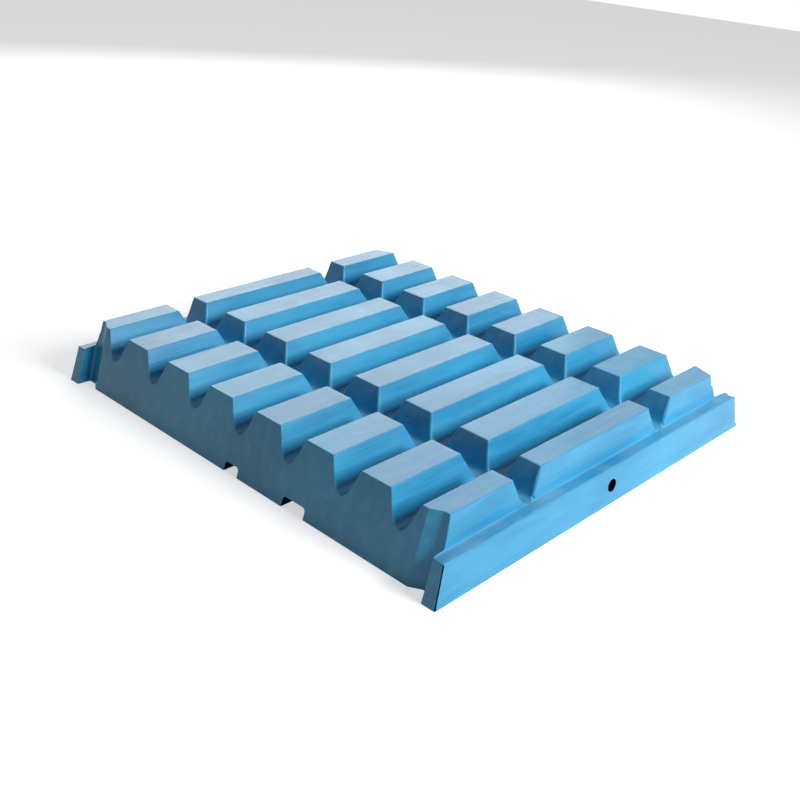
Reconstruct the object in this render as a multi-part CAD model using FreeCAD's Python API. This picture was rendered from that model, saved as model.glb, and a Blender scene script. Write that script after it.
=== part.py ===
# Crusher jaw plate: one manganese steel casting with three rows of teeth.
#
# X runs across the teeth, Y runs along them and Z stands off the back face.
# The origin is the middle of the flat back face, over the flanges' whole length.
# Lengths are in millimetres.
import FreeCAD, Part
import math
import os
from collections import namedtuple

# Teeth, as seen in the section across the plate
TOOTH_PITCH = 115.0
GROOVES = 7
PLATE_HEIGHT = 112.0          # from the back face to the crowns
CROWN_WIDTH = 58.0            # of a full tooth
GROOVE_DEPTH = 42.0
FLANK_DRAFT = 22.0            # degrees from upright
CROWN_EDGE_RADIUS = 3.0

# Side flanges: a ledge that runs the whole length on both sides
LEDGE_HEIGHT = 64.0
EDGE_CROWN_X = 414.5          # outer edge of the outermost crowns
EDGE_FLANK_DRAFT = 7.0
FLANGE_TOP_X = 441.0
FLANGE_BACK_X = 447.0
LEDGE_ROOT_RADIUS = 3.0
LEDGE_EDGE_RADIUS = 3.0

# Rows of teeth along the plate, parted by two cross gaps. A gap starts and ends at the
# crowns, counted from the first row's outer end. Its first wall leans more than its second.
CROWN_LENGTH = 717.0          # from the first row's outer end to the last row's
Gap = namedtuple("Gap", "start end first_draft first_radius")
GAPS = (Gap(147.0, 207.0, 25.0, 17.0), Gap(498.5, 562.0, 29.0, 16.0))
GAP_SECOND_DRAFT = 21.0
GAP_SECOND_RADIUS = 12.0

# Both ends lean outwards towards the back, for the clamping wedges. A flange's end stands
# proud of the end face, past a corner recess with a slanted wall. Its outer upright corner
# and its upper edge are rounded, far more at the last end.
END_DRAFT = 15.0
RECESS_RADIUS = 10.0
FLANGE_INNER_RADIUS = 3.0
End = namedtuple("End", "main_face_x recess_x recess_depth flange_overhang corner_radius edge_radius")
FIRST_END = End(385.0, 404.0, 11.0, 13.0, 2.0, 2.0)
LAST_END = End(377.0, 411.0, 14.0, 42.0, 18.0, 30.0)

# Key slots in the back edge of the first end: middle, width and height
KEY_SLOTS = ((1.5, 32.0, 16.0), (148.0, 49.0, 17.5))
KEY_SLOT_DEPTH = 60.0         # along Y, at the back face
KEY_SLOT_RADIUS = 6.0

# Lifting holes, one in the middle of each flange's outer side
LIFT_HOLE_RADIUS = 10.0
LIFT_HOLE_DEPTH = 60.0
LIFT_HOLE_Y = 8.0             # from the middle of the crowns' length
LIFT_HOLE_Z = 32.0
DRILL_POINT_ANGLE = 118.0

CLEARANCE = 20.0              # by which a cutting tool passes the metal
SAME_POINT = 1e-6             # points closer than this are one


def tangent(degrees):
    """Slope of a draft angle."""
    return math.tan(math.radians(degrees))


def groove_half_mouth():
    """Half the width of a groove between two crowns."""
    return (TOOTH_PITCH - CROWN_WIDTH) / 2


def flank_foot_x():
    """Where the outermost tooth's outer flank meets the ledge."""
    return EDGE_CROWN_X + (PLATE_HEIGHT - LEDGE_HEIGHT) * tangent(EDGE_FLANK_DRAFT)


def end_lean():
    """How far an end face leans outwards between the crowns and the back."""
    return PLATE_HEIGHT * tangent(END_DRAFT)


def back_edge_y():
    """Where the first end face meets the back face."""
    return -CROWN_LENGTH / 2 - end_lean()


def bar_half_length():
    """Half the length of the plain toothed bar, before its ends are cut."""
    overhang = max(FIRST_END.flange_overhang, LAST_END.flange_overhang)
    return -back_edge_y() + overhang + CLEARANCE


def rounded_face(corners, place):
    """Face inside an outline whose corners are (u, v, radius).

    place turns (u, v) into a point in space. A corner with no radius is sharp.
    """
    starts = []
    ends = []
    edges = []
    count = len(corners)
    for index, (u, v, radius) in enumerate(corners):
        here = FreeCAD.Vector(u, v, 0)
        to_last = FreeCAD.Vector(*corners[index - 1][:2], 0) - here
        to_next = FreeCAD.Vector(*corners[(index + 1) % count][:2], 0) - here
        half_angle = to_last.getAngle(to_next) / 2
        reach = radius / math.tan(half_angle)
        start = here + FreeCAD.Vector(to_last).normalize() * reach
        end = here + FreeCAD.Vector(to_next).normalize() * reach
        starts.append(start)
        ends.append(end)
        if radius > 0:
            bisector = (start + end) * 0.5 - here
            centre_distance = radius / math.sin(half_angle)
            middle = here + bisector.normalize() * (centre_distance - radius)
            edges.append(Part.Arc(place(*start[:2]), place(*middle[:2]), place(*end[:2])).toShape())
    for index in range(count):
        start = ends[index]
        end = starts[(index + 1) % count]
        if start.distanceToPoint(end) > SAME_POINT:
            edges.append(Part.LineSegment(place(*start[:2]), place(*end[:2])).toShape())
    return Part.Face(Part.Wire(Part.__sortEdges__(edges)))


def groove_root_radius():
    """Radius that ends a groove of the wanted depth on two drafted flanks."""
    apex_depth = groove_half_mouth() / tangent(FLANK_DRAFT)
    return (apex_depth - GROOVE_DEPTH) / (1 / math.sin(math.radians(FLANK_DRAFT)) - 1)


def toothed_bar():
    """Section across the plate, drawn out along Y past both ends."""
    half_mouth = groove_half_mouth()
    apex_height = PLATE_HEIGHT - half_mouth / tangent(FLANK_DRAFT)
    root_radius = groove_root_radius()
    right_side = [
        (FLANGE_BACK_X, 0, 0),
        (FLANGE_TOP_X, LEDGE_HEIGHT, LEDGE_EDGE_RADIUS),
        (flank_foot_x(), LEDGE_HEIGHT, LEDGE_ROOT_RADIUS),
        (EDGE_CROWN_X, PLATE_HEIGHT, CROWN_EDGE_RADIUS),
    ]
    grooves = []
    for index in range(GROOVES):
        middle = ((GROOVES - 1) / 2 - index) * TOOTH_PITCH
        grooves.append((middle + half_mouth, PLATE_HEIGHT, CROWN_EDGE_RADIUS))
        grooves.append((middle, apex_height, root_radius))
        grooves.append((middle - half_mouth, PLATE_HEIGHT, CROWN_EDGE_RADIUS))
    left_side = [(-x, z, radius) for x, z, radius in reversed(right_side)]
    start_y = -bar_half_length()
    section = rounded_face(right_side + grooves + left_side, lambda x, z: FreeCAD.Vector(x, start_y, z))
    return section.extrude(FreeCAD.Vector(0, -2 * start_y, 0))


def gap_tool(gap):
    """Cross gap between two rows of teeth, its floor level with the ledges."""
    first = gap.start - CROWN_LENGTH / 2
    last = gap.end - CROWN_LENGTH / 2
    depth = PLATE_HEIGHT - LEDGE_HEIGHT
    top = PLATE_HEIGHT + CLEARANCE
    outline = [
        (first - CLEARANCE, PLATE_HEIGHT, 0),
        (first, PLATE_HEIGHT, CROWN_EDGE_RADIUS),
        (first + depth * tangent(gap.first_draft), LEDGE_HEIGHT, gap.first_radius),
        (last - depth * tangent(GAP_SECOND_DRAFT), LEDGE_HEIGHT, GAP_SECOND_RADIUS),
        (last, PLATE_HEIGHT, CROWN_EDGE_RADIUS),
        (last + CLEARANCE, PLATE_HEIGHT, 0),
        (last + CLEARANCE, top, 0),
        (first - CLEARANCE, top, 0),
    ]
    half_width = FLANGE_BACK_X + CLEARANCE
    face = rounded_face(outline, lambda y, z: FreeCAD.Vector(-half_width, y, z))
    return face.extrude(FreeCAD.Vector(2 * half_width, 0, 0))


def end_tool(end):
    """Everything beyond the first end: its plain face, corner recesses and flange ends.

    The outline is drawn at the back face and swept up along the end's draft.
    """
    face_y = back_edge_y()
    recess_y = face_y + end.recess_depth
    flange_y = face_y - end.flange_overhang
    foot_x = flank_foot_x()
    beyond_x = FLANGE_BACK_X + CLEARANCE
    beyond_y = -bar_half_length() - end_lean() - CLEARANCE
    right_half = [
        (end.main_face_x, face_y, CROWN_EDGE_RADIUS),
        (end.recess_x, recess_y, RECESS_RADIUS),
        (foot_x, recess_y, FLANGE_INNER_RADIUS),
        (foot_x, flange_y, FLANGE_INNER_RADIUS),
        (FLANGE_BACK_X, flange_y, 0),
        (beyond_x, flange_y, 0),
        (beyond_x, beyond_y, 0),
    ]
    left_half = [(-x, y, radius) for x, y, radius in reversed(right_half)]
    face = rounded_face(right_half + left_half, lambda x, y: FreeCAD.Vector(x, y, 0))
    return face.extrude(FreeCAD.Vector(0, end_lean(), PLATE_HEIGHT))


def key_slot_tool(middle, width, height):
    """Slot for a key in the back edge of the first end, with rounded upper corners."""
    half = width / 2
    start_y = back_edge_y() - CLEARANCE
    outline = [
        (middle - half, -CLEARANCE, 0),
        (middle + half, -CLEARANCE, 0),
        (middle + half, height, KEY_SLOT_RADIUS),
        (middle - half, height, KEY_SLOT_RADIUS),
    ]
    face = rounded_face(outline, lambda x, z: FreeCAD.Vector(x, start_y, z))
    return face.extrude(FreeCAD.Vector(0, KEY_SLOT_DEPTH + CLEARANCE, 0))


def lift_hole_tool(side):
    """Blind drilled hole that enters a flange square to the plate's middle plane."""
    inward = FreeCAD.Vector(-side, 0, 0)
    mouth = FreeCAD.Vector(side * (FLANGE_BACK_X + CLEARANCE), LIFT_HOLE_Y, LIFT_HOLE_Z)
    flange_x = FLANGE_BACK_X - (FLANGE_BACK_X - FLANGE_TOP_X) * LIFT_HOLE_Z / LEDGE_HEIGHT
    length = FLANGE_BACK_X + CLEARANCE - flange_x + LIFT_HOLE_DEPTH
    shaft = Part.makeCylinder(LIFT_HOLE_RADIUS, length, mouth, inward)
    point_length = LIFT_HOLE_RADIUS / tangent(DRILL_POINT_ANGLE / 2)
    point = Part.makeCone(LIFT_HOLE_RADIUS, 0, point_length, mouth + inward * length, inward)
    return shaft.fuse(point)


def flange_corner_tool(end):
    """Rounds the outer upright corner of the first end's right flange.

    It is swept up along that corner, which both drafts lean.
    """
    x = FLANGE_BACK_X
    y = back_edge_y() - end.flange_overhang
    reach = 2 * end.corner_radius
    outline = [
        (x, y, end.corner_radius),
        (x, y + reach, 0),
        (x + CLEARANCE, y + reach, 0),
        (x + CLEARANCE, y - CLEARANCE, 0),
        (x - reach, y - CLEARANCE, 0),
        (x - reach, y, 0),
    ]
    face = rounded_face(outline, lambda u, v: FreeCAD.Vector(u, v, 0))
    side_lean = FLANGE_TOP_X - FLANGE_BACK_X
    return face.extrude(FreeCAD.Vector(side_lean, LEDGE_HEIGHT * tangent(END_DRAFT), LEDGE_HEIGHT))


def flange_edge_tool(end):
    """Rounds the upper edge of the first end's flanges, over the plate's whole width."""
    y = back_edge_y() - end.flange_overhang + LEDGE_HEIGHT * tangent(END_DRAFT)
    reach = end.edge_radius
    foot_y = y - reach * tangent(END_DRAFT)
    outline = [
        (y, LEDGE_HEIGHT, end.edge_radius),
        (foot_y, LEDGE_HEIGHT - reach, 0),
        (foot_y - CLEARANCE, LEDGE_HEIGHT - reach, 0),
        (foot_y - CLEARANCE, LEDGE_HEIGHT + CLEARANCE, 0),
        (y + reach, LEDGE_HEIGHT + CLEARANCE, 0),
        (y + reach, LEDGE_HEIGHT, 0),
    ]
    half_width = FLANGE_BACK_X + CLEARANCE
    face = rounded_face(outline, lambda v, z: FreeCAD.Vector(-half_width, v, z))
    return face.extrude(FreeCAD.Vector(2 * half_width, 0, 0))


def jaw_plate():
    """The whole casting as one solid."""
    plate = toothed_bar()
    for gap in GAPS:
        plate = plate.cut(gap_tool(gap))
    origin = FreeCAD.Vector(0, 0, 0)
    across = FreeCAD.Vector(1, 0, 0)
    along = FreeCAD.Vector(0, 1, 0)
    for end in (FIRST_END, LAST_END):
        corner = flange_corner_tool(end)
        tool = end_tool(end).fuse([corner, corner.mirror(origin, across), flange_edge_tool(end)])
        if end is LAST_END:
            tool = tool.mirror(origin, along)
        plate = plate.cut(tool)
    for slot in KEY_SLOTS:
        plate = plate.cut(key_slot_tool(*slot))
    for side in (1, -1):
        plate = plate.cut(lift_hole_tool(side))
    plate = plate.removeSplitter()
    plate.translate(along * (FIRST_END.flange_overhang - LAST_END.flange_overhang) / 2)
    return plate


os.makedirs("parts", exist_ok=True)
casting = jaw_plate()
solid = casting.Solids[0]
print("solids", len(casting.Solids), "valid", casting.isValid(), "faces", len(solid.Faces))
print("box", solid.BoundBox, "volume litres", round(solid.Volume / 1e6, 3))
solid.exportStep("parts/jaw_plate.step")
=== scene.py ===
"""Looks of a cast crusher jaw plate: its softened skin, its brushed blue enamel and a plain studio."""

import logging
import math
from bisect import bisect_right
from collections.abc import Callable
from dataclasses import dataclass, field
from enum import Enum

import bmesh
import bpy
from mathutils import Matrix, Vector, noise


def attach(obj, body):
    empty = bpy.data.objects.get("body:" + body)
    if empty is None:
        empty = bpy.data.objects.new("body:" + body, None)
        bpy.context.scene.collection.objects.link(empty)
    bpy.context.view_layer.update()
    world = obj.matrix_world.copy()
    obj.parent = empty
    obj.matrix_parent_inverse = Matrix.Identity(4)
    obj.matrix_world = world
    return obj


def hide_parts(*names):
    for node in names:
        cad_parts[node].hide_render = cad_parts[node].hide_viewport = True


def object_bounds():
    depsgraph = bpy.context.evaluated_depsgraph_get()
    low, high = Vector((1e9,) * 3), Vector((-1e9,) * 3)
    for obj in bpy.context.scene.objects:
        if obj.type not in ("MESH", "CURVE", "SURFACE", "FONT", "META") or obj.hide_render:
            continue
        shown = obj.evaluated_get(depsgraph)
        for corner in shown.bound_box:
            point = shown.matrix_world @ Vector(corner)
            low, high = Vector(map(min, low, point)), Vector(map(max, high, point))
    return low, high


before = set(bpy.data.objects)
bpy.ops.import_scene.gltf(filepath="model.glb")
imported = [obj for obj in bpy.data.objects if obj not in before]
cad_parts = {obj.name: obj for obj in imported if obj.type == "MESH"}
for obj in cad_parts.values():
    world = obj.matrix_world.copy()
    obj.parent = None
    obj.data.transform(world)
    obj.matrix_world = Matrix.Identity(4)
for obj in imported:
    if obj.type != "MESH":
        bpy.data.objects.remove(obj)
CAD_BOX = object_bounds()

MM = 0.001
NODE = "jaw_plate"
MERGE_DISTANCE = 0.01 * MM
LOG = logging.getLogger("jaw_plate_scene")


def smoothstep(value: float) -> float:
    """Return value held between 0 and 1 and eased at both ends."""
    held = min(1.0, max(0.0, value))
    return held * held * (3 - 2 * held)


def tangent(degrees: float) -> float:
    """Return the slope of a draft angle."""
    return math.tan(math.radians(degrees))


# ---------------------------------------------------------------- outlines


@dataclass(frozen=True)
class Corner:
    """A corner of an outline: its place along, its height and how round it is."""

    along: float
    height: float
    radius: float = 0.0


class Outline:
    """An open outline with rounded corners, drawn as a wire and read back as points."""

    STEP_ANGLE = math.radians(9)

    def __init__(self, corners: list[Corner], spacing: float = 0.0) -> None:
        """Draw the wire.

        Args:
            corners: The corners in order. The first and the last stay sharp.
            spacing: The longest straight stretch without a point, or 0 for any.
        """
        wire = bmesh.new()
        verts = [wire.verts.new((corner.along, 0, corner.height)) for corner in corners]
        for first, second in zip(verts, verts[1:]):
            wire.edges.new((first, second))
        for vert, corner in zip(verts[1:-1], corners[1:-1]):
            if corner.radius:
                self._round(wire, vert, corner.radius)
        if spacing:
            for edge in list(wire.edges):
                cuts = int(edge.calc_length() / spacing)
                if cuts:
                    bmesh.ops.subdivide_edges(wire, edges=[edge], cuts=cuts)
        tips = [vert for vert in wire.verts if len(vert.link_edges) == 1]
        self.points = self._walk(min(tips, key=lambda vert: vert.co.x))
        wire.free()

    def _round(self, wire: bmesh.types.BMesh, vert: bmesh.types.BMVert, radius: float) -> None:
        """Round one corner of the wire with an arc of that radius.

        Args:
            wire: The wire.
            vert: The corner.
            radius: The arc's radius.
        """
        before, after = ((edge.other_vert(vert).co - vert.co) for edge in vert.link_edges)
        inside = before.angle(after)
        turn = math.pi - inside
        bmesh.ops.bevel(
            wire,
            geom=[vert],
            offset=radius / math.tan(inside / 2),
            segments=max(3, math.ceil(turn / self.STEP_ANGLE)),
            profile=0.5,
            affect="VERTICES",
            material=-1,
            clamp_overlap=False,
        )

    @staticmethod
    def _walk(start: bmesh.types.BMVert) -> list[Vector]:
        """Return the wire's points as (along, height), from its start to its end.

        Args:
            start: The wire's first point.

        Returns:
            The points in order.
        """
        points = []
        last_edge = None
        vert = start
        while vert is not None:
            points.append(Vector((vert.co.x, vert.co.z)))
            onward = [edge for edge in vert.link_edges if edge is not last_edge]
            last_edge = onward[0] if onward else None
            vert = last_edge.other_vert(vert) if onward else None
        return points

    def height_at(self, along: float) -> float:
        """Return the outline's height at a place along it.

        Args:
            along: The place.

        Returns:
            The height there.
        """
        places = [point.x for point in self.points]
        index = min(max(bisect_right(places, along), 1), len(places) - 1)
        before, after = self.points[index - 1], self.points[index]
        share = (along - before.x) / max(after.x - before.x, 1e-9)
        return before.y + (after.y - before.y) * min(1.0, max(0.0, share))

    def facing_at(self, along: float, reach: float = 0.1 * MM) -> Vector:
        """Return the outline's normal at a place.

        Args:
            along: The place.
            reach: How far to either side the outline is looked at.

        Returns:
            The normal, as (along, height).
        """
        before, here, after = (
            Vector((place, self.height_at(place))) for place in (along - reach, along, along + reach)
        )
        course = (here - before).normalized() + (after - here).normalized()
        return Vector((-course.y, course.x)).normalized()


# ---------------------------------------------------------------- the casting's form


@dataclass(frozen=True)
class CrownEdge:
    """A long edge of a crown: where it would be if it were sharp, and its flank's facing."""

    x: float
    draft: float
    outward: int

    @property
    def flank(self) -> Vector:
        """Return which way the flank beside the edge faces."""
        lean = math.radians(self.draft)
        return Vector((self.outward * math.cos(lean), 0, math.sin(lean)))

    def places(self, radius: float) -> list[float]:
        """Return the places across the plate that a ball of that radius touches at a corner.

        Args:
            radius: The ball's radius.

        Returns:
            The places, from the crown to the flank.
        """
        reach = radius * tangent((90 - self.draft) / 2)
        down = reach * math.sin(math.radians(self.draft))
        return [self.x - self.outward * reach * share for share in (1.0, 0.75, 0.5)] + [
            self.x + self.outward * down * share for share in (0.7, 1.0)
        ]


@dataclass(frozen=True)
class Column:
    """A line of the skin that runs along the plate: its place in the section and its facing."""

    x: float
    height: float
    normal: Vector
    edge: CrownEdge


@dataclass
class Section:
    """The section across the teeth, as the foundry's pattern has it."""

    pitch: float = 115 * MM
    grooves: int = 7
    crown_width: float = 58 * MM
    groove_depth: float = 42 * MM
    flank_draft: float = 22.0
    crown_radius: float = 3 * MM
    ledge_height: float = 64 * MM
    edge_crown_x: float = 414.5 * MM
    edge_flank_draft: float = 7.0
    flange_narrowing: float = 6 * MM
    ledge_root_radius: float = 3 * MM
    ledge_edge_radius: float = 3 * MM
    spacing: float = 9 * MM
    height: float = CAD_BOX[1][2]
    back_x: float = CAD_BOX[1][0]

    @property
    def foot_x(self) -> float:
        """Return where the outermost flank meets the ledge."""
        return self.edge_crown_x + (self.height - self.ledge_height) * tangent(self.edge_flank_draft)

    def groove_middles(self) -> list[float]:
        """Return where the grooves' middles are."""
        return [(index - (self.grooves - 1) / 2) * self.pitch for index in range(self.grooves)]

    def crown_edges(self) -> list[CrownEdge]:
        """Return the long edges of all the crowns.

        Returns:
            Two edges for each groove and one for each side of the plate.
        """
        half_mouth = (self.pitch - self.crown_width) / 2
        edges = [CrownEdge(side * self.edge_crown_x, self.edge_flank_draft, side) for side in (-1, 1)]
        for middle in self.groove_middles():
            edges.append(CrownEdge(middle - half_mouth, self.flank_draft, 1))
            edges.append(CrownEdge(middle + half_mouth, self.flank_draft, -1))
        return edges

    def outline(self) -> Outline:
        """Return the section's outline from the left back edge to the right one.

        Returns:
            The outline, with points no farther apart than the spacing.
        """
        half_mouth = (self.pitch - self.crown_width) / 2
        apex_depth = half_mouth / tangent(self.flank_draft)
        root_radius = (apex_depth - self.groove_depth) / (1 / math.sin(math.radians(self.flank_draft)) - 1)
        side = [
            Corner(self.back_x, 0),
            Corner(self.back_x - self.flange_narrowing, self.ledge_height, self.ledge_edge_radius),
            Corner(self.foot_x, self.ledge_height, self.ledge_root_radius),
            Corner(self.edge_crown_x, self.height, self.crown_radius),
        ]
        corners = [Corner(-corner.along, corner.height, corner.radius) for corner in side]
        for middle in self.groove_middles():
            corners.append(Corner(middle - half_mouth, self.height, self.crown_radius))
            corners.append(Corner(middle, self.height - apex_depth, root_radius))
            corners.append(Corner(middle + half_mouth, self.height, self.crown_radius))
        return Outline(corners + side[::-1], self.spacing)

    def columns(self, extra_places: list[float]) -> list[Column]:
        """Return the skin's columns.

        Args:
            extra_places: Places across the plate that need a column of their own.

        Returns:
            One column for each point of the section and each extra place.
        """
        outline = self.outline()
        edges = self.crown_edges()
        places = [point.x for point in outline.points]
        nearest = 0.25 * MM
        for place in extra_places:
            if min(abs(place - other) for other in places) > nearest:
                places.append(place)
        columns = []
        for place in sorted(places):
            facing = outline.facing_at(place)
            edge = min(edges, key=lambda each: abs(each.x - place))
            columns.append(Column(place, outline.height_at(place), Vector((facing.x, 0, facing.y)), edge))
        return columns


class PlateEnd(Enum):
    """The two ends of the plate. The value is the side of the middle that an end is on."""

    FIRST = -1
    LAST = 1


@dataclass(frozen=True)
class Softness:
    """How round the edges of a wall are, and how finely they are drawn."""

    crown: float
    upright: float
    arc_steps: int
    blend: float = 24 * MM

    def radius(self, drop: float) -> float:
        """Return the radius of the edge that far below the crowns."""
        return self.crown + (self.upright - self.crown) * smoothstep(drop / self.blend)


UP = Vector((0, 0, 1))
FAR_EDGE = CrownEdge(x=1, draft=45, outward=1)


def rolled_edge(column: Column, crossing: Vector, wall: Vector, radius: float, steps: int) -> list[Vector]:
    """Return the arc that softens the edge between a column of the skin and a wall.

    Where the radius is larger than the crown's own edge, the corner of a tooth is rounded by
    a ball that touches the crown, the flank and the wall.

    Args:
        column: The column.
        crossing: Where the column would meet the wall if the edge were sharp.
        wall: Which way the wall faces.
        radius: The arc's radius, less where the edge is acute.
        steps: The number of steps in the arc.

    Returns:
        The arc's points, from the column to the wall.
    """
    agreement = column.normal.dot(wall)
    size = radius * min(1.0, 1.0 + agreement)
    centre = crossing - (column.normal + wall) * (size / (1 + agreement))
    start = centre + column.normal * size
    edge = column.edge
    corner = Vector((edge.x, crossing.y, crossing.z))
    corner += Vector((0, wall.z / wall.y, -1)) * (crossing.z - CAD_BOX[1][2])
    ball = corner - Matrix((UP, edge.flank, wall)).inverted() @ Vector((size, size, size))
    in_corner = (column.x - ball.x) * edge.outward > 0 and centre.z > ball.z - 1e-6
    if size > Section.crown_radius and in_corner:
        centre = ball
        start = Vector((column.x, start.y, column.height))
    reach = (start - centre).length
    course = (start - centre) / reach
    points = []
    for step in range(steps + 1):
        share = step / steps
        points.append(centre + course.slerp(wall, share, course) * (reach + (size - reach) * share))
    return points


@dataclass
class EndWall:
    """A leaning end of the plate, with a recess and a flange's end at each corner."""

    end: PlateEnd
    section: Section
    softness: Softness
    main_face_x: float
    recess_x: float
    recess_depth: float
    overhang: float
    face_distance: float
    draft: float = 15.0
    face_radius: float = 3 * MM
    recess_radius: float = 10 * MM
    inner_radius: float = 3 * MM
    step_width: float = 0.3 * MM
    flange_softness: float = 1.5 * MM
    foot_fade: float = 12 * MM
    least_share: float = 0.1
    wall_steps: int = 5

    def __post_init__(self) -> None:
        """Draw the end's plan at the back face, for one half of the plate."""
        foot = self.section.foot_x
        recess = self.face_distance - self.recess_depth
        flange = self.face_distance + self.overhang
        self.plan = Outline(
            [
                Corner(0, self.face_distance),
                Corner(self.main_face_x, self.face_distance, self.face_radius),
                Corner(self.recess_x, recess, self.recess_radius),
                Corner(foot - self.step_width, recess, self.inner_radius),
                Corner(foot + self.step_width, flange, self.inner_radius),
                Corner(self.section.back_x * 2, flange),
            ]
        )

    def places(self) -> list[float]:
        """Return the places across the plate that the plan's corners need."""
        half = [point.x for point in self.plan.points[1:-1]]
        return half + [-place for place in half]

    def distance(self, x: float, height: float) -> float:
        """Return how far the wall stands from the plate's middle, along the plate."""
        return self.plan.height_at(abs(x)) - height * tangent(self.draft)

    def rows(self, column: Column) -> list[Vector]:
        """Return the column's points from the top surface over the edge and down to the back.

        Args:
            column: The column.

        Returns:
            The points, from the top surface to the back edge.
        """
        side = self.end.value
        facing = Vector((0, side, tangent(self.draft))).normalized()
        crossing = Vector((column.x, side * self.distance(column.x, column.height), column.height))
        rounding = column
        radius = self.softness.radius(self.section.height - column.height)
        if abs(column.x) > self.section.foot_x - self.inner_radius:
            rounding = Column(column.x, column.height, UP, column.edge)
            radius = self.flange_softness
        elif abs(column.x) > self.section.edge_crown_x:
            above = column.height - self.section.ledge_height
            radius *= max(self.least_share, smoothstep(above / self.foot_fade))
        points = rolled_edge(rounding, crossing, facing, radius, self.softness.arc_steps)
        brink = points[-1]
        proud = side * brink.y - self.distance(brink.x, brink.z)
        for step in range(1, self.wall_steps + 1):
            share = step / self.wall_steps
            height = brink.z * (1 - share)
            x = brink.x + (column.x - brink.x) * share
            points.append(Vector((x, side * (self.distance(x, height) + proud * (1 - share)), height)))
        for point in points:
            point.z = max(0.0, point.z)
        return points


@dataclass
class GapWall:
    """One wall of a cross gap, from the crowns down to the middle of the gap's floor."""

    section: Section
    softness: Softness
    crown_y: float
    floor_y: float
    draft: float
    root_radius: float
    wall_steps: int = 13
    ledge_blend: float = 4 * MM
    profile_spacing: float = 2 * MM
    facing_start: float = 0.2 * MM
    facing_reach: float = 0.15 * MM

    def __post_init__(self) -> None:
        """Draw the wall's profile, with distances from the crowns' end."""
        top, ledge = self.section.height, self.section.ledge_height
        self.side = 1 if self.floor_y > self.crown_y else -1
        foot = (top - ledge) * tangent(self.draft)
        width = abs(self.floor_y - self.crown_y)
        corners = [Corner(0, top), Corner(foot, ledge, self.root_radius), Corner(width, ledge)]
        self.profile = Outline(corners, self.profile_spacing)
        middle = Column(0, top, UP, FAR_EDGE)
        self.crown_rows = [point.y for point in self._mapped(middle)]

    def _crossing(self, height: float) -> float:
        """Return how far from the crowns' end the wall has come down to a height.

        Args:
            height: The height.

        Returns:
            The distance along the plate.
        """
        points = self.profile.points
        passed = [index for index, point in enumerate(points) if point.y > height]
        if not passed:
            return points[0].x
        before, after = points[passed[-1]], points[min(passed[-1] + 1, len(points) - 1)]
        share = (before.y - height) / max(before.y - after.y, 1e-9)
        return before.x + (after.x - before.x) * min(1.0, share)

    def _mapped(self, column: Column) -> list[Vector]:
        """Return the rows that follow the edge where the column runs into the wall.

        Args:
            column: The column.

        Returns:
            The points, from the column to the middle of the gap's floor.
        """
        place = self._crossing(column.height)
        facing = self.profile.facing_at(max(place, self.facing_start), self.facing_reach)
        wall = Vector((0, facing.x * self.side, facing.y))
        crossing = Vector((column.x, self.crown_y + self.side * place, column.height))
        radius = self.softness.radius(self.section.height - column.height)
        points = rolled_edge(column, crossing, wall, radius, self.softness.arc_steps)
        brink = points[-1]
        start = abs(brink.y - self.crown_y)
        width = abs(self.floor_y - self.crown_y)
        for step in range(1, self.wall_steps + 1):
            share = step / self.wall_steps
            along = start + (width - start) * share
            x = brink.x + (column.x - brink.x) * share
            points.append(Vector((x, self.crown_y + self.side * along, self.profile.height_at(along))))
        return points

    def rows(self, column: Column) -> list[Vector]:
        """Return the column's points from the teeth's top to the middle of the gap's floor.

        Args:
            column: The column.

        Returns:
            The points, left flat where the column is no higher than the ledge.
        """
        above = column.height - self.section.ledge_height
        share = smoothstep(above / self.ledge_blend)
        plain = [Vector((column.x, y, column.height)) for y in self.crown_rows]
        if share == 0:
            return plain
        points = []
        for flat, mapped in zip(plain, self._mapped(column)):
            point = flat.lerp(mapped, share)
            if share < 1:
                along = (point.y - self.crown_y) * self.side
                point.z = min(column.height, self.profile.height_at(along))
            points.append(point)
        return points


@dataclass
class Prism:
    """A cutter: a closed outline placed in space and swept along a straight line."""

    name: str
    corners: list[Corner]
    place: Callable[[Vector], Vector]
    sweep: Vector

    def build(self) -> bpy.types.Object:
        """Return the cutter as an object.

        Returns:
            The swept shape.
        """
        shape = bmesh.new()
        verts = [shape.verts.new(self.place(point)) for point in Outline(self.corners).points]
        grown = bmesh.ops.extrude_face_region(shape, geom=[shape.faces.new(verts)])
        moved = [item for item in grown["geom"] if isinstance(item, bmesh.types.BMVert)]
        bmesh.ops.translate(shape, verts=moved, vec=self.sweep)
        return finished_object(shape, self.name)


@dataclass
class KeySlot:
    """A slot for a key in the back edge of the first end."""

    middle: float
    width: float
    height: float
    depth: float = 60 * MM
    corner_radius: float = 6 * MM
    clearance: float = 20 * MM

    def cutter(self, back_edge_y: float) -> Prism:
        """Return what cuts the slot from an end face that meets the back face there.

        Args:
            back_edge_y: Where the end face meets the back face.

        Returns:
            The cutter.
        """
        half = self.width / 2
        start_y = back_edge_y - self.clearance
        corners = [
            Corner(self.middle - half, -self.clearance),
            Corner(self.middle - half, self.height, self.corner_radius),
            Corner(self.middle + half, self.height, self.corner_radius),
            Corner(self.middle + half, -self.clearance),
        ]
        sweep = Vector((0, self.depth + self.clearance, 0))
        return Prism("key_slot_cutter", corners, lambda point: Vector((point.x, start_y, point.y)), sweep)


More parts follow.
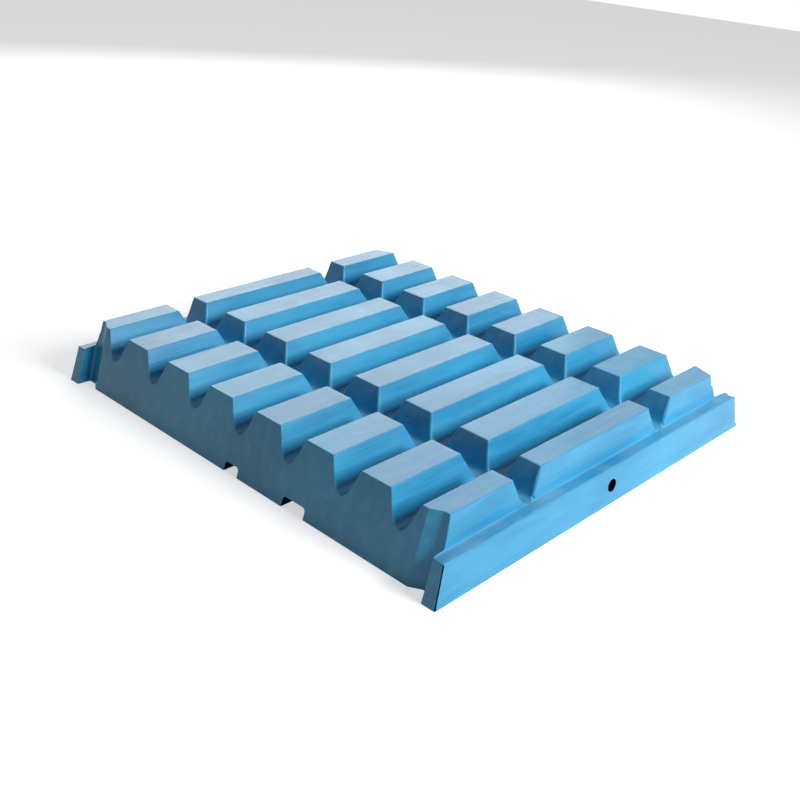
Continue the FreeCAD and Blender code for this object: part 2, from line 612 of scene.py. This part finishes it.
@dataclass
class FlangeEnd:
    """The rounding of a flange's end: its outer upright corner and its upper edge."""

    wall: EndWall
    side: int
    corner_radius: float
    edge_radius: float
    clearance: float = 20 * MM
    proud: float = 0.03 * MM
    corner_reach: float = 1.5
    overrun: float = 0.3

    def corner_cutter(self) -> Prism:
        """Return what rounds the upright corner, which both drafts lean.

        Returns:
            The cutter.
        """
        section = self.wall.section
        x = section.back_x + self.proud
        y = self.wall.face_distance + self.wall.overhang + self.proud
        reach = self.corner_reach * self.corner_radius
        corners = [
            Corner(x - reach, y),
            Corner(x, y, self.corner_radius),
            Corner(x, y - reach),
            Corner(x + self.clearance, y - reach),
            Corner(x + self.clearance, y + self.clearance),
            Corner(x - reach, y + self.clearance),
        ]
        turned = Vector((self.side, self.wall.end.value))
        lean = Vector((-section.flange_narrowing * turned.x, 0, section.ledge_height))
        lean.y = -section.ledge_height * tangent(self.wall.draft) * turned.y
        return Prism(
            "flange_corner_cutter",
            corners,
            lambda point: Vector((point.x * turned.x, point.y * turned.y, 0)) - lean * self.overrun,
            lean * (1 + 2 * self.overrun),
        )

    def edge_cutter(self) -> Prism:
        """Return what rounds the upper edge.

        Returns:
            The cutter.
        """
        section = self.wall.section
        height = section.ledge_height + self.proud
        y = self.wall.face_distance + self.wall.overhang - height * tangent(self.wall.draft) + self.proud
        reach = self.edge_radius
        foot_y = y + reach * tangent(self.wall.draft)
        corners = [
            Corner(y - reach, height),
            Corner(y, height, self.edge_radius),
            Corner(foot_y, height - reach),
            Corner(foot_y + self.clearance, height - reach),
            Corner(foot_y + self.clearance, height + self.clearance),
            Corner(y - reach, height + self.clearance),
        ]
        start_x = self.side * (section.foot_x - self.clearance / 2)
        sweep = Vector((self.side * (section.back_x - section.foot_x + self.clearance), 0, 0))
        turn = self.wall.end.value
        return Prism(
            "flange_edge_cutter", corners, lambda point: Vector((start_x, point.x * turn, point.y)), sweep
        )


@dataclass
class HoleTool:
    """Cutter for a lifting hole: a blind hole with a chamfered mouth and a drill point."""

    side: int
    y: float
    section: Section
    radius: float = 10 * MM
    depth: float = 60 * MM
    height: float = 32 * MM
    point_angle: float = 118.0
    mouth_chamfer: float = 1.2 * MM
    clearance: float = 20 * MM
    sides: int = 40

    def build(self) -> bpy.types.Object:
        """Return the cutter as an object, turned from a half section about its axis.

        Returns:
            The turned shape.
        """
        face_x = self.section.back_x
        face_x -= self.section.flange_narrowing * self.height / self.section.ledge_height
        point_depth = self.radius / tangent(self.point_angle / 2)
        wide = self.radius + self.mouth_chamfer
        stations = [
            (face_x - self.depth - point_depth, 0.0),
            (face_x - self.depth, self.radius),
            (face_x - self.mouth_chamfer, self.radius),
            (face_x, wide),
            (face_x + self.clearance, wide),
            (face_x + self.clearance, 0.0),
        ]
        shape = bmesh.new()
        verts = [shape.verts.new((self.side * x, self.y, self.height + r)) for x, r in stations]
        edges = [shape.edges.new(pair) for pair in zip(verts, verts[1:])]
        bmesh.ops.spin(
            shape,
            geom=verts + edges,
            cent=(0, self.y, self.height),
            axis=(1, 0, 0),
            angle=math.tau,
            steps=self.sides,
            use_merge=True,
        )
        return finished_object(shape, "lifting_hole_cutter")


def finished_object(shape: bmesh.types.BMesh, name: str) -> bpy.types.Object:
    """Merge a bmesh's doubled points, turn its faces outwards and return it as an object.

    Args:
        shape: The bmesh, which is freed.
        name: The object's name.

    Returns:
        The object, linked to the scene.
    """
    bmesh.ops.remove_doubles(shape, verts=shape.verts, dist=MERGE_DISTANCE)
    bmesh.ops.recalc_face_normals(shape, faces=shape.faces)
    mesh = bpy.data.meshes.new(name)
    shape.to_mesh(mesh)
    shape.free()
    piece = bpy.data.objects.new(name, mesh)
    bpy.context.scene.collection.objects.link(piece)
    return piece


@dataclass(frozen=True)
class CrossGap:
    """A gap across the teeth, placed along the crowns from their first end, and its first wall."""

    start: float
    end: float
    draft: float
    root_radius: float


@dataclass
class JawPlate:
    """The whole casting: a toothed skin with softened edges over a flat back."""

    crown_length: float = 717 * MM
    draft: float = 15.0
    first_overhang: float = 13 * MM
    last_overhang: float = 42 * MM
    first_corner_radius: float = 2 * MM
    last_corner_radius: float = 18 * MM
    last_edge_radius: float = 30 * MM
    first_gap: CrossGap = CrossGap(start=147 * MM, end=207 * MM, draft=25.0, root_radius=17 * MM)
    second_gap: CrossGap = CrossGap(start=498.5 * MM, end=562 * MM, draft=29.0, root_radius=16 * MM)
    gap_last_draft: float = 21.0
    gap_last_radius: float = 12 * MM
    row_spacing: float = 13 * MM
    end_margin: float = 27 * MM
    gap_margin: float = 9 * MM
    hole_offset: float = 8 * MM
    wave_depth: float = 0.7 * MM
    wave_length: float = 95 * MM
    ripple_length: float = 0.35
    ripple_share: float = 0.25
    ripple_shift: tuple[int, int, int] = (7, 3, 5)
    still_height: float = 20 * MM
    sliver: float = 0.02 * MM
    sharp_angle: float = 38.0
    shading_weight: int = 60
    end_softness: Softness = Softness(crown=1.2 * MM, upright=2.8 * MM, arc_steps=4)
    near_softness: Softness = Softness(crown=2.8 * MM, upright=4.5 * MM, arc_steps=4)
    lee_softness: Softness = Softness(crown=8 * MM, upright=8 * MM, arc_steps=6)
    section: Section = field(default_factory=Section)

    def __post_init__(self) -> None:
        """Work out where the rows of teeth start and end, and draw the walls."""
        lean = self.section.height * tangent(self.draft)
        reach = self.crown_length + 2 * lean + self.first_overhang + self.last_overhang
        LOG.info("length %.2f mm, in the frame %.2f mm", reach / MM, (CAD_BOX[1][1] - CAD_BOX[0][1]) / MM)
        self.first_crown_y = CAD_BOX[0][1] + self.first_overhang + lean
        self.last_crown_y = CAD_BOX[1][1] - self.last_overhang - lean
        self.first_wall = EndWall(
            end=PlateEnd.FIRST,
            section=self.section,
            softness=self.end_softness,
            main_face_x=385 * MM,
            recess_x=404 * MM,
            recess_depth=11 * MM,
            overhang=self.first_overhang,
            face_distance=lean - self.first_crown_y,
        )
        self.last_wall = EndWall(
            end=PlateEnd.LAST,
            section=self.section,
            softness=self.lee_softness,
            main_face_x=377 * MM,
            recess_x=411 * MM,
            recess_depth=14 * MM,
            overhang=self.last_overhang,
            face_distance=lean + self.last_crown_y,
        )
        self.gap_walls = []
        for gap in (self.first_gap, self.second_gap):
            first_y = self.first_crown_y + gap.start
            last_y = self.first_crown_y + gap.end
            depth = self.section.height - self.section.ledge_height
            low = first_y + depth * tangent(gap.draft) + gap.root_radius * tangent((90 - gap.draft) / 2)
            high = last_y - depth * tangent(self.gap_last_draft)
            high -= self.gap_last_radius * tangent((90 - self.gap_last_draft) / 2)
            floor_y = (low + high) / 2
            self.gap_walls += [
                GapWall(self.section, self.lee_softness, first_y, floor_y, gap.draft, gap.root_radius),
                GapWall(
                    self.section,
                    self.near_softness,
                    last_y,
                    floor_y,
                    self.gap_last_draft,
                    self.gap_last_radius,
                ),
            ]

    def _run(self, start: float, end: float) -> list[float]:
        """Return evenly spaced places along a row of teeth, both ends included."""
        steps = max(1, round((end - start) / self.row_spacing))
        return [start + (end - start) * step / steps for step in range(steps + 1)]

    def _line(self, column: Column) -> list[Vector]:
        """Return a column's points from the first end's back edge to the last end's.

        Args:
            column: The column.

        Returns:
            The points, as many for every column.
        """
        walls = [wall.rows(column) for wall in self.gap_walls]
        crowns = [wall.crown_y for wall in self.gap_walls]
        runs = [
            self._run(self.first_crown_y + self.end_margin, crowns[0] - self.gap_margin),
            self._run(crowns[1] + self.gap_margin, crowns[2] - self.gap_margin),
            self._run(crowns[3] + self.gap_margin, self.last_crown_y - self.end_margin),
        ]
        tops = [[Vector((column.x, y, column.height)) for y in run] for run in runs]
        line = self.first_wall.rows(column)[::-1] + tops[0]
        line += walls[0] + walls[1][-2::-1] + tops[1]
        line += walls[2] + walls[3][-2::-1] + tops[2]
        return line + self.last_wall.rows(column)

    def skin(self) -> bmesh.types.BMesh:
        """Return the casting's skin over its flat back, as one shape.

        Returns:
            The skin, before anything is cut.
        """
        extra = self.first_wall.places() + self.last_wall.places()
        for edge in self.section.crown_edges():
            extra += edge.places(self.lee_softness.crown)
        columns = self.section.columns(extra)
        lines = [self._line(column) for column in columns]
        rows = len(lines[0])
        shape = bmesh.new()
        bmesh.ops.create_grid(shape, x_segments=len(columns) - 1, y_segments=rows - 1, size=1)
        for index, vert in enumerate(shape.verts):
            vert.co = lines[index % len(columns)][index // len(columns)]
        LOG.info("skin of %d columns by %d rows", len(columns), rows)
        bmesh.ops.remove_doubles(shape, verts=shape.verts, dist=MERGE_DISTANCE)
        rim = [edge for edge in shape.edges if edge.is_boundary]
        bmesh.ops.holes_fill(shape, edges=rim, sides=0)
        bmesh.ops.recalc_face_normals(shape, faces=shape.faces)
        return shape

    def _cutters(self) -> list[bpy.types.Object]:
        """Return what cuts the slots and holes and rounds the flanges' ends.

        Returns:
            The cutters, as objects.
        """
        back_edge_y = -self.first_wall.face_distance
        hole_y = (self.first_crown_y + self.last_crown_y) / 2 + self.hole_offset
        cutters = [
            KeySlot(middle=1.5 * MM, width=32 * MM, height=16 * MM).cutter(back_edge_y).build(),
            KeySlot(middle=148 * MM, width=49 * MM, height=17.5 * MM).cutter(back_edge_y).build(),
        ]
        for side in (1, -1):
            first = FlangeEnd(self.first_wall, side, self.first_corner_radius, self.first_corner_radius)
            last = FlangeEnd(self.last_wall, side, self.last_corner_radius, self.last_edge_radius)
            cutters.append(HoleTool(side, hole_y, self.section).build())
            cutters.append(first.corner_cutter().build())
            cutters.append(last.corner_cutter().build())
            cutters.append(last.edge_cutter().build())
        return cutters

    def _settle(self, mesh: bpy.types.Mesh) -> None:
        """Sink the skin by a little, unevenly, as cast surfaces are never quite flat.

        Args:
            mesh: The mesh, which is changed.
        """
        shape = bmesh.new()
        shape.from_mesh(mesh)
        bmesh.ops.remove_doubles(shape, verts=shape.verts, dist=self.sliver)
        bmesh.ops.dissolve_degenerate(shape, edges=shape.edges, dist=self.sliver)
        bmesh.ops.recalc_face_normals(shape, faces=shape.faces)
        shape.normal_update()
        places = [vert.co.copy() for vert in shape.verts]
        for vert, place in zip(shape.verts, places):
            lift = smoothstep(place.z / self.still_height)
            swell = noise.noise(place / self.wave_length)
            ripple = noise.noise(place / (self.ripple_length * self.wave_length) + Vector(self.ripple_shift))
            wave = (1 - self.ripple_share) * swell + self.ripple_share * ripple
            sink = self.wave_depth * (0.5 + 0.5 * wave)
            vert.co -= vert.normal * (sink * lift)
        shape.to_mesh(mesh)
        shape.free()

    def build(self) -> bpy.types.Object:
        """Return the finished casting with its slots and holes cut.

        Returns:
            The casting, as an object.
        """
        plate = finished_object(self.skin(), "softened_jaw_plate")
        cutters = self._cutters()
        for cutter in cutters:
            cut = plate.modifiers.new(cutter.name, "BOOLEAN")
            cut.operation = "DIFFERENCE"
            cut.solver = "EXACT"
            cut.object = cutter
        bpy.context.view_layer.update()
        view = plate.evaluated_get(bpy.context.evaluated_depsgraph_get())
        cut_mesh = bpy.data.meshes.new_from_object(view)
        plate.modifiers.clear()
        plate.data = cut_mesh
        for cutter in cutters:
            bpy.data.objects.remove(cutter)
        self._settle(plate.data)
        plate.data.shade_smooth()
        plate.data.set_sharp_from_angle(angle=math.radians(self.sharp_angle))
        weigh = plate.modifiers.new("even_shading", "WEIGHTED_NORMAL")
        weigh.keep_sharp = True
        weigh.weight = self.shading_weight
        LOG.info("%s: %d faces", plate.name, len(plate.data.polygons))
        return plate


# ---------------------------------------------------------------- finishes


class Sheet:
    """A node tree with short ways to add and join its nodes."""

    def __init__(self, tree: bpy.types.NodeTree) -> None:
        """Hold an empty tree.

        Args:
            tree: The node tree to fill.
        """
        self.tree = tree
        self.tree.nodes.clear()

    def node(self, kind: str, inputs: dict | None = None, **settings: object) -> bpy.types.Node:
        """Add a node.

        Args:
            kind: The node's type, without its ShaderNode prefix.
            inputs: Values, or output sockets to join, by input name or number.
            settings: The node's own properties.

        Returns:
            The new node.
        """
        name = kind if kind.startswith("NodeGroup") else "ShaderNode" + kind
        node = self.tree.nodes.new(name)
        for key, value in settings.items():
            setattr(node, key, value)
        for key, value in (inputs or {}).items():
            if isinstance(value, bpy.types.NodeSocket):
                self.tree.links.new(value, node.inputs[key])
            else:
                node.inputs[key].default_value = value
        return node

    def math(
        self, operation: str, first: object, second: object = 0.0, clamp: bool = False
    ) -> bpy.types.NodeSocket:
        """Return the result of a Math node."""
        node = self.node("Math", {0: first, 1: second}, operation=operation, use_clamp=clamp)
        return node.outputs[0]

    def remap(
        self, value: object, low: float, high: float, to_low: float = 0.0, to_high: float = 1.0
    ) -> bpy.types.NodeSocket:
        """Return a value moved smoothly from one range to another.

        Args:
            value: The value.
            low: The start of its own range.
            high: The end of its own range.
            to_low: What low becomes.
            to_high: What high becomes.

        Returns:
            The moved value.
        """
        inputs = {"Value": value, "From Min": low, "From Max": high, "To Min": to_low, "To Max": to_high}
        node = self.node("MapRange", inputs, interpolation_type="SMOOTHSTEP")
        return node.outputs["Result"]

    def mix(self, share: object, first: object, second: object) -> bpy.types.NodeSocket:
        """Return a mix of two colours."""
        node = self.node("Mix", {0: share, 6: first, 7: second}, data_type="RGBA")
        return node.outputs[2]

    def noise(
        self, place: object, scale: float, detail: float = 2.0, rough: float = 0.5
    ) -> bpy.types.NodeSocket:
        """Return a noise texture's value."""
        inputs = {"Vector": place, "Scale": scale, "Detail": detail, "Roughness": rough}
        return self.node("TexNoise", inputs).outputs["Fac"]

    def stretched(self, place: object, scale: tuple[float, float, float]) -> bpy.types.NodeSocket:
        """Return coordinates stretched along the axes."""
        return self.node("Mapping", {"Vector": place, "Scale": scale}).outputs["Vector"]


class Effect:
    """A shader node group that finishes can share. It is built once."""

    name = "effect"
    takes: dict[str, tuple[str, float]] = {}
    gives: dict[str, str] = {}

    def group(self) -> bpy.types.NodeTree:
        """Return the node group, building it the first time.

        Returns:
            The node group.
        """
        found = bpy.data.node_groups.get(self.name)
        if found:
            return found
        tree = bpy.data.node_groups.new(self.name, "ShaderNodeTree")
        for name, (kind, value) in self.takes.items():
            socket = tree.interface.new_socket(name, in_out="INPUT", socket_type=kind)
            if kind == "NodeSocketFloat":
                socket.default_value = value
        for name, kind in self.gives.items():
            tree.interface.new_socket(name, in_out="OUTPUT", socket_type=kind)
        sheet = Sheet(tree)
        taken = sheet.node("NodeGroupInput")
        given = sheet.node("NodeGroupOutput")
        for name, socket in self.fill(sheet, taken.outputs).items():
            tree.links.new(socket, given.inputs[name])
        return tree

    def fill(self, sheet: Sheet, taken: bpy.types.NodeOutputs) -> dict[str, bpy.types.NodeSocket]:
        """Add the group's nodes and return a socket for each of its outputs."""
        raise NotImplementedError

    def place(self, sheet: Sheet, inputs: dict) -> bpy.types.NodeOutputs:
        """Place the group in a material and return its outputs."""
        return sheet.node("Group", inputs, node_tree=self.group()).outputs


class BrushMarks(Effect):
    """Streaks that a wide brush leaves in enamel, laid along the teeth or across a wall."""

    name = "brush_marks"
    takes = {
        "Place": ("NodeSocketVector", 0.0),
        "Fineness": ("NodeSocketFloat", 1.0),
    }
    gives = {"Streaks": "NodeSocketFloat", "Laps": "NodeSocketFloat"}

    def fill(self, sheet: Sheet, taken: bpy.types.NodeOutputs) -> dict[str, bpy.types.NodeSocket]:
        """Make fine streaks and the broad overlaps of the brush's passes.

        Args:
            sheet: The group's tree.
            taken: The group's inputs.

        Returns:
            Streaks and Laps, both from 0 to 1.
        """
        facing = sheet.node("NewGeometry").outputs["Normal"]
        parts = sheet.node("SeparateXYZ", {"Vector": facing})
        endways = sheet.remap(sheet.math("ABSOLUTE", parts.outputs["Y"]), 0.45, 0.75)
        bend = sheet.node("TexNoise", {"Vector": taken["Place"], "Scale": 6.0, "Detail": 1.0})
        drift = sheet.node("VectorMath", {0: bend.outputs["Color"], 1: (0.5, 0.5, 0.5)}, operation="SUBTRACT")
        small = sheet.node("VectorMath", {0: drift.outputs["Vector"], "Scale": 0.02}, operation="SCALE")
        bent = sheet.node("VectorMath", {0: taken["Place"], 1: small.outputs["Vector"]}, operation="ADD")
        scaled = sheet.node(
            "VectorMath", {0: bent.outputs["Vector"], "Scale": taken["Fineness"]}, operation="SCALE"
        )
        place = scaled.outputs["Vector"]
        lengthways = sheet.noise(sheet.stretched(place, (420, 9, 420)), 1.0, 3.0, 0.6)
        crossways = sheet.noise(sheet.stretched(place, (14, 420, 380)), 1.0, 3.0, 0.6)
        streaks = sheet.node("Mix", {0: endways, 2: lengthways, 3: crossways}, data_type="FLOAT").outputs[0]
        laps = sheet.noise(sheet.stretched(place, (55, 5, 40)), 1.0, 2.0, 0.55)
        return {"Streaks": sheet.remap(streaks, 0.3, 0.72), "Laps": sheet.remap(laps, 0.35, 0.68)}


class CastSkin(Effect):
    """The grain and slow lumps of a sand casting under its paint, as a height."""

    name = "cast_skin"
    takes = {"Place": ("NodeSocketVector", 0.0), "Grain": ("NodeSocketFloat", 1.0)}
    gives = {"Height": "NodeSocketFloat", "Pits": "NodeSocketFloat"}

    def fill(self, sheet: Sheet, taken: bpy.types.NodeOutputs) -> dict[str, bpy.types.NodeSocket]:
        """Add lumps, sand grain and scattered pits.

        Args:
            sheet: The group's tree.
            taken: The group's inputs.

        Returns:
            Height, and Pits from 0 to 1.
        """
        place = taken["Place"]
        lumps = sheet.noise(place, 38.0, 2.0, 0.5)
        grain = sheet.noise(place, 520.0, 3.0, 0.6)
        cells = sheet.node("TexVoronoi", {"Vector": place, "Scale": 46.0, "Randomness": 1.0})
        chance = sheet.node("SeparateXYZ", {"Vector": cells.outputs["Color"]}).outputs["X"]
        chosen = sheet.remap(chance, 0.9, 0.94)
        near = sheet.remap(cells.outputs["Distance"], 0.05, 0.17, 1.0, 0.0)
        pits = sheet.math("MULTIPLY", near, chosen)
        fine = sheet.math("MULTIPLY", sheet.math("MULTIPLY", grain, taken["Grain"]), 0.12)
        raised = sheet.math("ADD", sheet.math("MULTIPLY", lumps, 0.9), fine)
        height = sheet.math("SUBTRACT", raised, sheet.math("MULTIPLY", pits, 0.35))
        return {"Height": height, "Pits": pits}


class DustAndPaintedSheen(Effect):
    """Pale dust on what faces up, thicker in patches, which also stands in for a painted sheen: the pale
    reflection that the crowns show.
    """

    name = "dust_and_painted_sheen"
    takes = {"Place": ("NodeSocketVector", 0.0), "Streaks": ("NodeSocketFloat", 0.5)}
    gives = {"DustAndSheen": "NodeSocketFloat"}

    def fill(self, sheet: Sheet, taken: bpy.types.NodeOutputs) -> dict[str, bpy.types.NodeSocket]:
        """Make the mask of dust and painted sheen.

        Args:
            sheet: The group's tree.
            taken: The group's inputs.

        Returns:
            The mask of dust and painted sheen, from 0 to 1.
        """
        facing = sheet.node("NewGeometry").outputs["Normal"]
        up = sheet.node("SeparateXYZ", {"Vector": facing}).outputs["Z"]
        level = sheet.remap(up, 0.7, 0.98)
        patches = sheet.remap(sheet.noise(taken["Place"], 9.0, 3.0, 0.6), 0.32, 0.68)
        wiped = sheet.remap(taken["Streaks"], 0.15, 0.9, 0.55, 1.0)
        return {"DustAndSheen": sheet.math("MULTIPLY", sheet.math("MULTIPLY", level, patches), wiped)}


@dataclass(frozen=True)
class Enamel:
    """Glossy brushed enamel over the casting's skin."""

    name: str = "brushed_blue_enamel"
    colour: tuple[float, float, float] = (0.028, 0.34, 0.60)
    deep: tuple[float, float, float] = (0.012, 0.235, 0.46)
    thin: tuple[float, float, float] = (0.11, 0.50, 0.76)
    # pale lavender of dust, also a painted sheen that stands in for the crowns' reflection
    dust_and_sheen: tuple[float, float, float] = (0.55, 0.62, 0.76)
    dust_and_sheen_amount: float = 0.34
    roughness: float = 0.30
    coat: float = 0.18
    coat_roughness: float = 0.16
    specular: float = 0.35
    lap_share: float = 0.25
    streak_share: float = 0.16
    pit_share: float = 0.6
    streak_roughness: float = 0.10
    dust_and_sheen_roughness: float = 0.18
    fineness: float = 1.0
    skin_depth: float = 0.5 * MM
    brush_depth: float = 0.10 * MM

    def material(self) -> bpy.types.Material:
        """Return the finish as a material.

        Returns:
            The material.
        """
        material = bpy.data.materials.new(self.name)
        material.use_nodes = True
        sheet = Sheet(material.node_tree)
        place = sheet.node("TexCoord").outputs["Object"]
        brush = BrushMarks().place(sheet, {"Place": place, "Fineness": self.fineness})
        skin = CastSkin().place(sheet, {"Place": place})
        dust_and_sheen = DustAndPaintedSheen().place(sheet, {"Place": place, "Streaks": brush["Streaks"]})
        broad = sheet.remap(sheet.noise(place, 4.5, 2.0), 0.3, 0.7)
        tone = sheet.mix(broad, (*self.colour, 1), (*self.deep, 1))
        laps = sheet.math("MULTIPLY", brush["Laps"], self.lap_share)
        lapped = sheet.mix(laps, tone, (*self.thin, 1))
        streaks = sheet.math("MULTIPLY", brush["Streaks"], self.streak_share)
        streaked = sheet.mix(streaks, lapped, (*self.thin, 1))
        # dust on up-facing faces, partly a painted sheen that stands in for the crowns' pale reflection
        dust_and_sheen_share = sheet.math("MULTIPLY", dust_and_sheen["DustAndSheen"], self.dust_and_sheen_amount)
        with_dust_and_sheen = sheet.mix(dust_and_sheen_share, streaked, (*self.dust_and_sheen, 1))
        pits = sheet.math("MULTIPLY", skin["Pits"], self.pit_share)
        spotted = sheet.mix(pits, with_dust_and_sheen, (*self.deep, 1))
        ridged = sheet.math("MULTIPLY", brush["Streaks"], self.streak_roughness)
        dull = sheet.math("MULTIPLY", dust_and_sheen["DustAndSheen"], self.dust_and_sheen_roughness)
        rough = sheet.math("ADD", sheet.math("ADD", self.roughness, ridged), dull)
        first = sheet.node(
            "Bump", {"Height": skin["Height"], "Distance": self.skin_depth, "Strength": 1.0}
        ).outputs["Normal"]
        second = sheet.node(
            "Bump", {"Height": brush["Streaks"], "Distance": self.brush_depth, "Normal": first}
        ).outputs["Normal"]
        shader = sheet.node(
            "BsdfPrincipled",
            {
                "Base Color": spotted,
                "Roughness": rough,
                "Normal": second,
                "Specular IOR Level": self.specular,
                "Coat Weight": self.coat,
                "Coat Roughness": self.coat_roughness,
            },
        )
        out = sheet.node("OutputMaterial")
        material.node_tree.links.new(shader.outputs[0], out.inputs[0])
        return material


# ---------------------------------------------------------------- the studio


@dataclass(frozen=True)
class Softbox:
    """A large soft lamp that looks at the plate."""

    name: str
    place: tuple[float, float, float]
    size: tuple[float, float]
    power: float
    colour: tuple[float, float, float] = (1.0, 1.0, 1.0)

    def light(self) -> bpy.types.Object:
        """Return the lamp, turned towards the plate.

        Returns:
            The lamp, linked to the scene.
        """
        lamp = bpy.data.lights.new(self.name, "AREA")
        lamp.shape = "RECTANGLE"
        lamp.size, lamp.size_y = self.size
        lamp.energy = self.power
        lamp.color = self.colour
        holder = bpy.data.objects.new(self.name, lamp)
        holder.location = self.place
        holder.rotation_euler = (-Vector(self.place)).to_track_quat("-Z", "Y").to_euler()
        bpy.context.scene.collection.objects.link(holder)
        return holder


@dataclass
class Studio:
    """A pale floor, a white surround, soft lamps and the camera."""

    floor_size: float = 14.0
    floor_colour: tuple[float, float, float] = (0.80, 0.80, 0.80)
    floor_lift: float = 0.6
    floor_drop: float = 0.3 * MM
    surround: float = 0.07
    azimuth: float = 42.078
    elevation: float = 26.415
    roll: float = 4.166
    camera_distance: float = 1.9087
    aim: tuple[float, float] = (-0.0114, -0.0054)
    lens: float = 47.104
    sensor_width: float = 36.0
    boxes: tuple[Softbox, ...] = (
        Softbox("key", (2.7, 0.5, 1.8), (1.2, 1.2), 105.0),
        Softbox("sky", (-2.6, 2.0, 1.6), (3.0, 1.6), 45.0),
    )

    def _seen(self, sheet: Sheet) -> bpy.types.NodeSocket:
        """Return 1 for the rays that see the surround itself, straight or mirrored.

        Args:
            sheet: The node tree to add to.

        Returns:
            The value, 0 or 1.
        """
        path = sheet.node("LightPath").outputs
        mirrored = sheet.math("ADD", path["Is Glossy Ray"], path["Is Transmission Ray"])
        return sheet.math("ADD", path["Is Camera Ray"], mirrored, clamp=True)

    def _world(self) -> None:
        """Make a surround that looks white and lights the plate only a little."""
        world = bpy.data.worlds.new("surround")
        bpy.context.scene.world = world
        world.use_nodes = True
        sheet = Sheet(world.node_tree)
        strength = sheet.remap(self._seen(sheet), 0, 1, self.surround, 1.0)
        background = sheet.node("Background", {"Color": (1, 1, 1, 1), "Strength": strength})
        out = sheet.node("OutputWorld")
        world.node_tree.links.new(background.outputs[0], out.inputs[0])

    def _floor(self) -> None:
        """Lay the floor."""
        shape = bmesh.new()
        bmesh.ops.create_grid(shape, x_segments=1, y_segments=1, size=self.floor_size / 2)
        bmesh.ops.translate(shape, verts=shape.verts, vec=(0, 0, -self.floor_drop))
        floor = finished_object(shape, "studio_floor")
        material = bpy.data.materials.new("pale_floor")
        material.use_nodes = True
        sheet = Sheet(material.node_tree)
        lift = sheet.math("MULTIPLY", self._seen(sheet), self.floor_lift)
        shader = sheet.node(
            "BsdfPrincipled",
            {
                "Base Color": (*self.floor_colour, 1),
                "Roughness": 0.9,
                "Specular IOR Level": 0.0,
                "Emission Color": (1, 1, 1, 1),
                "Emission Strength": lift,
            },
        )
        out = sheet.node("OutputMaterial")
        material.node_tree.links.new(shader.outputs[0], out.inputs[0])
        floor.data.materials.append(material)

    def _camera(self) -> None:
        """Set the camera up."""
        turn, tilt, roll = (math.radians(angle) for angle in (self.azimuth, self.elevation, self.roll))
        back = Vector((math.sin(turn) * math.cos(tilt), -math.cos(turn) * math.cos(tilt), math.sin(tilt)))
        level = Vector((math.cos(turn), math.sin(turn), 0))
        right = level * math.cos(roll) + back.cross(level) * math.sin(roll)
        up = back.cross(right)
        camera = bpy.data.cameras.new("camera")
        camera.lens = self.lens
        camera.sensor_width = self.sensor_width
        holder = bpy.data.objects.new("camera", camera)
        turned = Matrix((right, up, back)).transposed().to_4x4()
        eye = Vector((*self.aim, 0)) + back * self.camera_distance
        holder.matrix_world = Matrix.Translation(eye) @ turned
        bpy.context.scene.collection.objects.link(holder)
        bpy.context.scene.camera = holder

    def build(self) -> None:
        """Set up the surround, floor, lamps and camera."""
        self._world()
        self._floor()
        for box in self.boxes:
            box.light()
        self._camera()
        bpy.context.scene.view_settings.view_transform = "Standard"


def main() -> None:
    """Build the plate and its studio."""
    logging.basicConfig(level=logging.INFO, format="%(message)s")
    plate = JawPlate().build()
    plate.data.materials.clear()
    plate.data.materials.append(Enamel().material())
    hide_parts(NODE)
    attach(plate, "root")
    LOG.info("%s rides on root and stands for %s", plate.name, NODE)
    Studio().build()
    LOG.info("studio ready")


if __name__ == "__main__":
    main()
